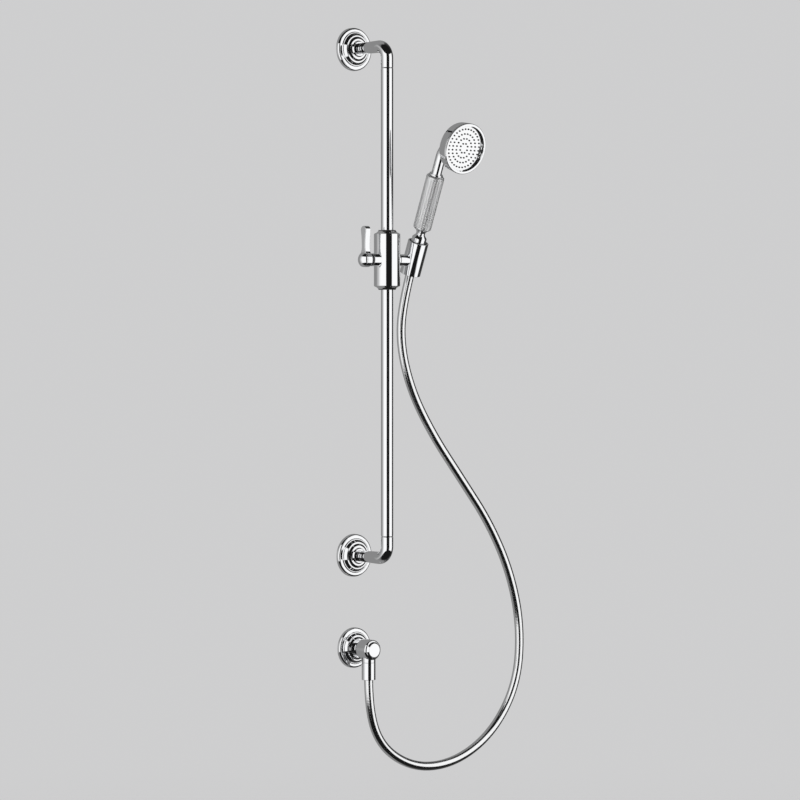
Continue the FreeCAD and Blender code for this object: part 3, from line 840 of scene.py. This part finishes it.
def bush(side):
    """Plastic bush in one end of the slider."""
    bore_r = rail_r + bush_rail_gap
    inner = slider_half - bush_length + bush_end_gap
    outer = slider_half + bush_proud
    profile = [
        (bore_r, inner),
        (bush_r, inner),
        (bush_r, outer, bush_edge),
        (bore_r, outer, bush_mouth_edge),
    ]
    return turned(profile, towards(slider_middle, side), ring=True)


def arc_to(bm, vert, middle, angle):
    """Spins an outline's last corner about a point and returns the new one."""
    made = bmesh.ops.spin(
        bm, geom=[vert], cent=(*middle, 0), axis=up, angle=angle, steps=arc_steps
    )["geom_last"]
    return next(item for item in made if isinstance(item, bmesh.types.BMVert))


def lever():
    """Paddle lever: a round hub, a slim waist and a wider rounded tip, with softened edges."""
    half = lever_waist / 2
    tip_height = lever_rise - lever_tip_r
    hub_flank = (half**2 + lever_waist_rise**2 - lever_hub_r**2) / (2 * (lever_hub_r - half))
    tip_run = tip_height - lever_waist_rise
    tip_flank = (half**2 + tip_run**2 - lever_tip_r**2) / (2 * (lever_tip_r - half))
    hub_turn = math.atan2(lever_waist_rise, half + hub_flank)
    tip_turn = math.atan2(tip_run, half + tip_flank)
    bm = bmesh.new()
    corner = bm.verts.new((0, -lever_hub_r, 0))
    corner = arc_to(bm, corner, (0, 0), math.pi / 2 + hub_turn)
    corner = arc_to(bm, corner, (half + hub_flank, lever_waist_rise), -hub_turn)
    corner = arc_to(bm, corner, (half + tip_flank, lever_waist_rise), -tip_turn)
    arc_to(bm, corner, (0, tip_height), math.pi / 2 + tip_turn)
    outline = bm.verts[:] + bm.edges[:]
    bmesh.ops.mirror(bm, geom=outline, axis="X", merge_dist=merge_gap)
    bmesh.ops.remove_doubles(bm, verts=bm.verts[:], dist=merge_gap)
    face = bmesh.ops.contextual_create(bm, geom=bm.edges[:])["faces"]
    made = bmesh.ops.extrude_face_region(bm, geom=face)["geom"]
    lifted = [item for item in made if isinstance(item, bmesh.types.BMVert)]
    bmesh.ops.translate(bm, vec=up * (lever_outer - lever_inner), verts=lifted)
    rims = [edge for edge in bm.edges if abs(edge.verts[0].co.z - edge.verts[1].co.z) < merge_gap]
    bmesh.ops.bevel(
        bm, geom=rims, offset=lever_edge, segments=round_steps, profile=0.5, affect="EDGES", material=-1
    )
    closed_up(bm)
    # The outline's X turns to the room, its Y up and its thickness to the left
    sideways = Matrix(((0, 0, -1, 0), (-1, 0, 0, 0), (0, 1, 0, 0), (0, 0, 0, 1)))
    return moved(bm, Matrix.Translation(slider_middle + left * lever_inner) @ sideways)


def lever_dome():
    """Low domed cap on the lever's hub."""
    dome_rise = lever_cap_rise - lever_cap_rim
    dome_corner = (lever_cap_r**2 + dome_rise**2) / (2 * lever_cap_r)
    profile = [
        (0, lever_outer),
        (lever_cap_r, lever_outer),
        (lever_cap_r, lever_outer + lever_cap_rim),
        (dome_corner, lever_outer + lever_cap_rise, dome_corner * lever_cap_roundness),
        (0, lever_outer + lever_cap_rise),
    ]
    return turned(profile, towards(slider_middle, left))


def friction_ring():
    """Plastic ring between the clamp boss and the lever."""
    start = clamp_boss_end + friction_ring_gap
    profile = [
        (friction_ring_bore_r, start),
        (friction_ring_r, start, friction_ring_edge),
        (friction_ring_r, lever_inner, friction_ring_edge),
        (friction_ring_bore_r, lever_inner),
    ]
    return turned(profile, towards(slider_middle, left), ring=True)


piece("slider_barrel", slider(), "chrome", "slider", "slider_body")
piece("upper_bush", bush(up), "black_plastic", "carriage", "upper_slide_bush")
piece("lower_bush", bush(down), "black_plastic", "carriage", "lower_slide_bush")
piece("clamp_paddle", lever(), "chrome", "clamp", "clamp_lever")
piece("clamp_cap", lever_dome(), "chrome", "clamp", "lever_cap")
piece("clamp_friction_ring", friction_ring(), "black_plastic", "clamp", "clamp_washer")

# Cradle and handset


def cradle():
    """Open tube that holds the hose nut, on the arm that tilts."""
    tube = turned(
        [
            (0, -cradle_below),
            (cradle_r, -cradle_below, wide_edge),
            (cradle_r, cradle_above, wide_edge),
            (0, cradle_above),
        ],
        handset,
    )
    arm = rod(cradle_arm_r, cradle_arm_start, cradle_reach, slider_middle, right)
    bore = turned(
        [
            (0, -cradle_below - cut_past),
            (cradle_bore_r, -cradle_below - cut_past),
            (cradle_bore_r, cradle_above + cut_past),
            (0, cradle_above + cut_past),
        ],
        handset,
    )
    return welded(tube, joins=[arm], holes=[bore])


def liner():
    """Tapered plastic sleeve in the cradle."""
    profile = [
        (liner_low_r, -liner_below, fine_edge),
        (cradle_bore_r, -liner_below),
        (cradle_bore_r, liner_above),
        (liner_top_r, liner_above, fine_edge),
    ]
    return turned(profile, handset, ring=True)


def upper_nut():
    """Tapered nut of the hose, which sits in the cradle's sleeve."""
    profile = [
        (nut_mouth_r, -upper_nut_below),
        (upper_nut_low_r, -upper_nut_below, upper_nut_edge),
        (upper_nut_top_r, upper_nut_top, soft_edge),
        (nut_socket_r, upper_nut_top),
        (nut_socket_r, 0),
        (nut_mouth_r, 0),
    ]
    return turned(profile, handset, ring=True)


def stem():
    """Tail in the hose nut, a collar on top of it and the waist below the grip."""
    profile = [
        (stem_bore_r, stem_tail_end),
        (stem_tail_r, stem_tail_end),
        (stem_tail_r, stem_collar_low),
        (stem_collar_r, stem_collar_low, soft_edge),
        (stem_collar_r, stem_collar_top, stem_collar_edge),
        (stem_waist_r, stem_waist_low, stem_waist_edge),
        (stem_waist_r, stem_waist_top, stem_waist_edge),
        (stem_top_r, grip_low, fine_edge),
        (stem_bore_r, grip_low),
    ]
    return turned(profile, handset, ring=True)


def on_knurl(face, low, top):
    """Whether a face lies on the grip's outer skin between two heights."""
    middle = face.calc_center_median()
    upright = abs(face.normal.z) < upright_limit
    return upright and middle.xy.length > grip_r - grip_skin and low < middle.z < top


def knurled_grip():
    """Sleeve with chamfered ends and a diamond knurl between them."""
    low = grip_low + grip_chamfer
    top = grip_top - grip_chamfer
    end_r = grip_r - grip_chamfer
    first = low + knurl_margin
    length = top - low - 2 * knurl_margin
    rows = [first + length * n / knurl_rows for n in range(knurl_rows + 1)]
    profile = [(grip_bore_r, grip_low), (end_r, grip_low), (grip_r, low)]
    profile += [(grip_r, row) for row in rows]
    profile += [(grip_r, top), (end_r, grip_top), (grip_bore_r, grip_top)]
    bm = turned(profile, Matrix(), ring=True, steps=knurl_columns)
    squares = [face for face in bm.faces if on_knurl(face, rows[0], rows[-1])]
    inside = set(squares)
    shared = [edge for edge in bm.edges if inside.issuperset(edge.link_faces)]
    bmesh.ops.poke(bm, faces=squares)
    bmesh.ops.dissolve_edges(bm, edges=shared, use_verts=False)
    outer = [face for face in bm.faces if on_knurl(face, rows[0], rows[-1])]
    diamonds = [face for face in outer if len(face.verts) == 4]
    bmesh.ops.poke(bm, faces=diamonds, offset=knurl_height)
    bmesh.ops.recalc_face_normals(bm, faces=bm.faces[:])
    return moved(bm, handset)


def gooseneck():
    """Neck that rises from the grip and bends over to the rose."""
    bm = bmesh.new()
    bmesh.ops.create_circle(
        bm, segments=bar_steps, radius=neck_r, matrix=Matrix.Translation(up * grip_top)
    )
    back = bm.edges[:]
    rim = pulled(bm, back, up * (neck_bend_low - grip_top))
    rim = swept(bm, rim, room * neck_bend_r + up * neck_bend_low, right, neck_bend_turn)
    rim = pulled(bm, rim, rose_axis * (neck_to_face - neck_end))
    bmesh.ops.edgeloop_fill(bm, edges=back)
    bmesh.ops.edgeloop_fill(bm, edges=rim)
    closed_up(bm)
    return moved(bm, handset)


def head():
    """Gooseneck, its collar and the cup behind the rose."""
    cup_front = lip_back + cup_gap
    cup_bore_r = skirt_r + cup_gap
    cup = turned(
        [
            (0, cup_floor),
            (cup_floor_r, cup_floor),
            (cup_slope_r, cup_slope),
            (cup_throat_r, cup_throat),
            (cup_throat_r, cup_seat),
            (cup_bore_r, cup_seat),
            (cup_bore_r, cup_front),
            (rose_r - cup_chamfer, cup_front, cup_edge),
            (rose_r, cup_front + cup_chamfer, cup_edge),
            (cup_side_r, cup_side, cup_side_edge),
            (cup_crown_r, cup_crown, cup_crown_edge),
            (cup_pole_r, cup_pole, cup_pole_edge),
            (0, cup_pole),
        ],
        rose,
    )
    collar_low = grip_top + neck_collar_gap
    collar_top = grip_top + neck_collar_t
    collar = turned(
        [
            (0, collar_low),
            (neck_collar_r, collar_low, fine_edge),
            (neck_collar_r, collar_top, wide_edge),
            (0, collar_top),
        ],
        handset,
    )
    return welded(cup, joins=[gooseneck(), collar])


def rose_lip():
    """Ring with a ledge in front of the spray plate and a skirt inside the cup."""
    profile = [
        (lip_mouth_r, 0, fine_edge),
        (rose_r - lip_chamfer, 0, fine_edge),
        (rose_r, lip_chamfer, fine_edge),
        (rose_r, lip_back, fine_edge),
        (skirt_r, lip_back),
        (skirt_r, skirt_end),
        (skirt_bore_r, skirt_end),
        (skirt_bore_r, plate_front),
        (ledge_r, plate_front),
        (ledge_r, ledge_front, fine_edge),
    ]
    return turned(profile, rose, ring=True, steps=flange_steps)


def nozzle_mat():
    """Rubber mat behind the spray plate, with short nozzles that stand through its holes."""
    mat_back = plate_back + mat_t
    bm = turned([(0, plate_back), (mat_r, plate_back), (mat_r, mat_back), (0, mat_back)], rose)
    length = plate_back - plate_front + nozzle_proud
    for n in range(1, nozzle_rings + 1):
        count = nozzles_per_ring * n
        place = Matrix.Translation((n * nozzle_pitch, 0, plate_back - length / 2))
        for k in range(count):
            turn = Matrix.Rotation(2 * math.pi * (k + 0.5) / count, 4, "Z")
            bmesh.ops.create_cone(
                bm, cap_ends=True, segments=nozzle_steps, radius1=nozzle_r, radius2=nozzle_r,
                depth=length, matrix=rose @ turn @ place,
            )
    return bm


piece("cradle_tube", cradle(), "chrome", "holder", "cradle")
piece("cradle_sleeve", liner(), "black_plastic", "holder", "cradle_liner")
piece("handset_hose_nut", upper_nut(), "chrome", "holder", "upper_hose_nut")
piece("handset_foot", stem(), "chrome", "holder", "handset_stem")
piece("knurled_grip", knurled_grip(), "knurled_chrome", "holder", "handset_grip")
piece("neck_and_cup", head(), "chrome", "holder", "handset_head")
piece("rose_lip", rose_lip(), "chrome", "holder", "rose_ring")
piece("nozzle_mat", nozzle_mat(), "black_rubber", "holder", "spray_seal")

# Wall outlet


def outlet():
    """Barrel with a bevelled front, its neck and the tail that the hose nut hangs from."""
    barrel = turned(
        [
            (inlet_bore_r, 0),
            (outlet_neck_r, 0),
            (outlet_neck_r, outlet_barrel_back),
            (outlet_barrel_r, outlet_barrel_back, outlet_back_edge),
            (outlet_barrel_r, outlet_bevel_start, outlet_edge),
            (outlet_rim_r, outlet_rim),
            (outlet_plug_r + outlet_plug_gap, outlet_rim),
            (outlet_plug_r + outlet_plug_gap, outlet_plug_back),
            (inlet_bore_r, outlet_plug_back),
        ],
        towards(outlet_middle, room),
        ring=True,
    )
    tail = rod(outlet_tail_r, outlet_tail_start, outlet_tail_end, outlet_tail, down)
    return welded(barrel, joins=[tail])


def inlet_thread():
    """Screw thread on the pipe that goes into the wall."""
    bm = bmesh.new()
    tooth = [
        (inlet_root_r, 0),
        (inlet_r, thread_pitch * thread_crest_low),
        (inlet_r, thread_pitch * thread_crest_high),
        (inlet_root_r, thread_pitch),
    ]
    corners = [bm.verts.new((r, 0, height)) for r, height in tooth]
    for first, second in zip(corners, corners[1:]):
        bm.edges.new((first, second))
    bmesh.ops.spin(
        bm, geom=bm.verts[:] + bm.edges[:], cent=(0, 0, 0), axis=up, angle=2 * math.pi * thread_turns,
        steps=thread_steps * thread_turns, dvec=up * (thread_pitch / thread_steps),
    )
    closed_up(bm)
    pipe_r = inlet_root_r + inlet_overlap
    pipe = turned(
        [
            (inlet_bore_r, -inlet_overlap),
            (pipe_r, -inlet_overlap),
            (pipe_r, inlet_length - inlet_chamfer, soft_edge),
            (inlet_root_r - inlet_chamfer, inlet_length),
            (inlet_bore_r, inlet_length),
        ],
        Matrix(),
        ring=True,
    )
    mesh = bpy.data.meshes.new("scratch")
    pipe.to_mesh(mesh)
    pipe.free()
    bm.from_mesh(mesh)
    bpy.data.meshes.remove(mesh)
    return moved(bm, towards(outlet_middle, -room))


def outlet_plug():
    """Cap that closes the barrel's front, with a sloping rim."""
    rim = outlet_rim + outlet_plug_lift
    profile = [
        (0, outlet_plug_back),
        (outlet_plug_r, outlet_plug_back),
        (outlet_plug_r, rim),
        (outlet_rim_r - outlet_plug_inset, rim),
        (outlet_face_r, outlet_front, fine_edge),
        (0, outlet_front),
    ]
    return turned(profile, towards(outlet_middle, room))


def lower_nut():
    """Nut that holds the hose to the outlet's tail."""
    profile = [
        (nut_socket_r, lower_nut_top),
        (lower_nut_r, lower_nut_top, lower_nut_top_edge),
        (lower_nut_r, lower_nut_end, lower_nut_edge),
        (nut_mouth_r, lower_nut_end, fine_edge),
        (nut_mouth_r, lower_nut_seat),
        (nut_socket_r, lower_nut_seat),
    ]
    return turned(profile, towards(outlet_tail, down), ring=True)


outlet_cover = flange(outlet_flange_front, outlet_middle)
piece("outlet_flange_cover", outlet_cover, "chrome", "root", "outlet_flange")
piece("outlet_barrel", outlet(), "chrome", "root", "outlet_body")
piece("outlet_thread", inlet_thread(), "raw_brass", "root", "outlet_body")
piece("outlet_plug", outlet_plug(), "chrome", "root", "outlet_cap")
piece("outlet_hose_nut", lower_nut(), "chrome", "root", "lower_hose_nut")

# Camera, floor and light


def staged(name, bm, material):
    """Mesh of the stage, which isn't part of the object."""
    mesh = bpy.data.meshes.new(name)
    bm.to_mesh(mesh)
    bm.free()
    mesh.materials.append(material)
    obj = bpy.data.objects.new(name, mesh)
    bpy.context.scene.collection.objects.link(obj)
    return obj


def tent_material():
    """Glow of the light tent, by angle round the object, which fades to dark at the top and bottom."""
    material = bpy.data.materials.new("tent_glow")
    material.use_nodes = True
    material.cycles.emission_sampling = "NONE"
    nodes = material.node_tree.nodes
    link = material.node_tree.links.new
    nodes.remove(nodes["Principled BSDF"])
    place = nodes.new("ShaderNodeMapping")
    place.vector_type = "TEXTURE"
    place.inputs["Location"].default_value = tent_middle
    place.inputs["Rotation"].default_value = (0, 0, camera_turn - math.pi / 2)
    link(nodes.new("ShaderNodeTexCoord").outputs["Object"], place.inputs["Vector"])
    angle = nodes.new("ShaderNodeTexGradient")
    angle.gradient_type = "RADIAL"
    link(place.outputs["Vector"], angle.inputs["Vector"])
    ramps = []
    for levels in (tent_panels, tent_back):
        ramp = nodes.new("ShaderNodeValToRGB")
        stops = ramp.color_ramp.elements
        while len(stops) < len(levels):
            stops.new(1)
        for stop, (degrees, level) in zip(stops, levels):
            stop.position = (degrees + 180) / 360
            stop.color = (level, level, level, 1)
        link(angle.outputs["Fac"], ramp.inputs["Fac"])
        ramps.append(ramp.outputs["Color"])
    panels, back = ramps
    split = nodes.new("ShaderNodeSeparateXYZ")
    link(place.outputs["Vector"], split.inputs["Vector"])
    height = nodes.new("ShaderNodeMath")
    height.operation = "ABSOLUTE"
    link(split.outputs["Z"], height.inputs[0])
    fade = nodes.new("ShaderNodeMapRange")
    fade.inputs["From Min"].default_value = tent_half_height - tent_fade
    fade.inputs["From Max"].default_value = tent_half_height - tent_dark_rim
    fade.inputs["To Min"].default_value = tent_strength
    fade.inputs["To Max"].default_value = 0
    link(height.outputs[0], fade.inputs["Value"])
    both = nodes.new("ShaderNodeMath")
    both.operation = "MULTIPLY_ADD"
    link(panels, both.inputs[0])
    link(fade.outputs["Result"], both.inputs[1])
    link(back, both.inputs[2])
    glow = nodes.new("ShaderNodeEmission")
    link(both.outputs[0], glow.inputs["Strength"])
    link(glow.outputs["Emission"], nodes["Material Output"].inputs["Surface"])
    return material


def light_tent():
    """Round tent that only reflections see."""
    bm = bmesh.new()
    bmesh.ops.create_cone(
        bm, cap_ends=True, segments=tent_steps, radius1=tent_r, radius2=tent_r,
        depth=2 * tent_half_height, matrix=Matrix.Translation(tent_middle),
    )
    tent = staged("light_tent", bm, tent_material())
    tent.visible_camera = False
    tent.visible_diffuse = False
    tent.visible_shadow = False
    tent.visible_transmission = False
    return tent


def pale_floor():
    """Pale floor under the rail set, which fades into the backdrop's grey at its rim."""
    material = bpy.data.materials.new("pale_floor")
    material.use_nodes = True
    nodes = material.node_tree.nodes
    link = material.node_tree.links.new
    shader = nodes["Principled BSDF"]
    shader.inputs["Base Color"].default_value = (*floor_grey, 1)
    shader.inputs["Roughness"].default_value = floor_roughness
    distance = nodes.new("ShaderNodeVectorMath")
    distance.operation = "LENGTH"
    link(nodes.new("ShaderNodeTexCoord").outputs["Object"], distance.inputs[0])
    fade = nodes.new("ShaderNodeMapRange")
    fade.interpolation_type = "SMOOTHSTEP"
    fade.inputs["From Min"].default_value = floor_r * floor_fade_start
    fade.inputs["From Max"].default_value = floor_r
    fade.inputs["To Min"].default_value = 1
    fade.inputs["To Max"].default_value = 0
    link(distance.outputs["Value"], fade.inputs["Value"])
    link(fade.outputs["Result"], shader.inputs["Alpha"])
    bm = bmesh.new()
    bmesh.ops.create_circle(
        bm, cap_ends=True, segments=floor_steps, radius=floor_r,
        matrix=Matrix.Translation(up * floor_level),
    )
    return staged("floor", bm, material)


def soft_lamp(name, place, size, power):
    """Large soft lamp that points at the slider."""
    data = bpy.data.lights.new(name, "AREA")
    data.shape = "DISK"
    data.size = size
    data.energy = power
    lamp = bpy.data.objects.new(name, data)
    lamp.location = place
    lamp.rotation_euler = (slider_middle * MM - Vector(place)).to_track_quat("-Z", "Y").to_euler()
    lamp.visible_glossy = False
    bpy.context.scene.collection.objects.link(lamp)


scene = bpy.context.scene
scene.view_settings.view_transform = "Standard"
camera_data = bpy.data.cameras.new("camera")
camera_data.lens = camera_lens
camera_data.sensor_width = camera_sensor
camera = bpy.data.objects.new("camera", camera_data)
camera.location = camera_place
camera.rotation_euler = (math.pi / 2 + camera_pitch, 0, camera_turn)
scene.collection.objects.link(camera)
scene.camera = camera
light_tent()
pale_floor()
soft_lamp("key_lamp", key_place, key_size, key_power)
world = bpy.data.worlds.new("studio")
world.use_nodes = True
world.node_tree.nodes["Background"].inputs["Color"].default_value = world_grey
scene.world = world
